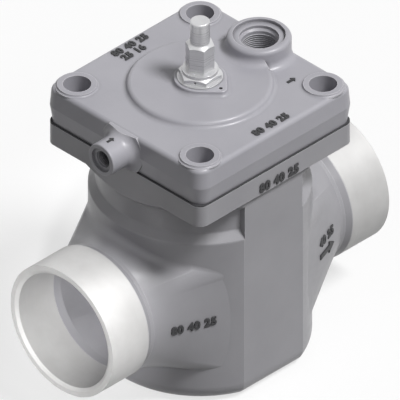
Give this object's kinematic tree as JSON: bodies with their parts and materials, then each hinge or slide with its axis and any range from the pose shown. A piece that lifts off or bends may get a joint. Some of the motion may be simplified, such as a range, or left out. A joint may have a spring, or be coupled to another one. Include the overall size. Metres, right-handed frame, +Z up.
{
  "type": "pressure regulating valve",
  "caption": "Pilot-operated globe valve body with butt-weld ends, bolted square cover, pilot and gauge ports and a capped manual spindle over a balanced piston.",
  "frame": {"origin": "bottom centre of the whole valve, under the spindle axis", "axes": "+X along the flow axis to the outlet, +Z up along the spindle, +Y across"},
  "size_m": [0.241, 0.1366, 0.2405],
  "materials": {
    "housing_cast": "grey painted steel casting, fine cast grain",
    "cover_cast": "grey painted steel casting, fine cast grain",
    "weld_end_steel": "machined bare steel",
    "bright_steel": "turned and plated steel",
    "turned_steel": "turned steel",
    "spring_steel": "oiled spring wire",
    "bearing_brass": "turned brass",
    "seal_rubber": "black rubber",
    "gasket_fibre": "dark fibre sheet",
    "white_packing": "white slippery packing"
  },
  "bodies": {
    "valve_body": {"housing": "housing_cast", "inlet_stub": "weld_end_steel", "outlet_stub": "weld_end_steel", "top_cover": "cover_cast", "cover_gasket": "gasket_fibre", "pilot_orifice": "bright_steel", "gland_nut": "bright_steel", "gland_o_ring": "seal_rubber", "packing_ring": "white_packing", "cylinder_liner": "turned_steel", "liner_o_ring": "seal_rubber", "module_cage": "turned_steel", "rod_guide_bush": "bearing_brass", "seat_ring": "turned_steel", "seat_o_ring": "seal_rubber", "spring_retainer": "turned_steel", "closing_spring": "spring_steel"},
    "piston_set": {"piston": "turned_steel", "piston_ring": "turned_steel", "piston_rod": "bright_steel", "throttle_cone": "turned_steel", "valve_plate": "turned_steel", "plate_seal": "white_packing", "rod_nut": "bright_steel"},
    "foot": {"spindle_foot": "bright_steel"},
    "spindle": {"spindle": "bright_steel"},
    "cap_seal": {"cap_gasket": "white_packing"},
    "cap": {"spindle_cap": "bright_steel"}
  },
  "joints": [
    {"name": "spindle_travel", "type": "slide", "parent": "valve_body", "child": "foot", "axis": [0, 0, 1], "range_m": [-0.012, 0]},
    {"name": "spindle_turn", "type": "hinge", "parent": "foot", "child": "spindle", "pos_m": [0, 0, 0.16], "axis": [0, 0, -1], "range_deg": [0, 2160]},
    {"name": "piston_travel", "type": "slide", "parent": "valve_body", "child": "piston_set", "axis": [0, 0, 1], "range_m": [-0.012, 0], "stiffness_N_per_m": 5000, "springref_m": 0.02, "deforming": ["closing_spring"]},
    {"name": "cap_lift", "type": "slide", "parent": "valve_body", "child": "cap_seal", "axis": [0, 0, 1], "range_m": [0, 0.009]},
    {"name": "cap_turn", "type": "hinge", "parent": "cap_seal", "child": "cap", "pos_m": [0, 0, 0.21], "axis": [0, 0, 1], "range_deg": [0, 2160]}
  ],
  "couplings": [
    {"joint": "spindle_travel", "follows": "piston_travel", "ratio": 1},
    {"joint": "spindle_turn", "follows": "piston_travel", "rad_per_m": -3141.6},
    {"joint": "cap_lift", "follows": "cap_turn", "m_per_rad": 0.00023873}
  ]
}
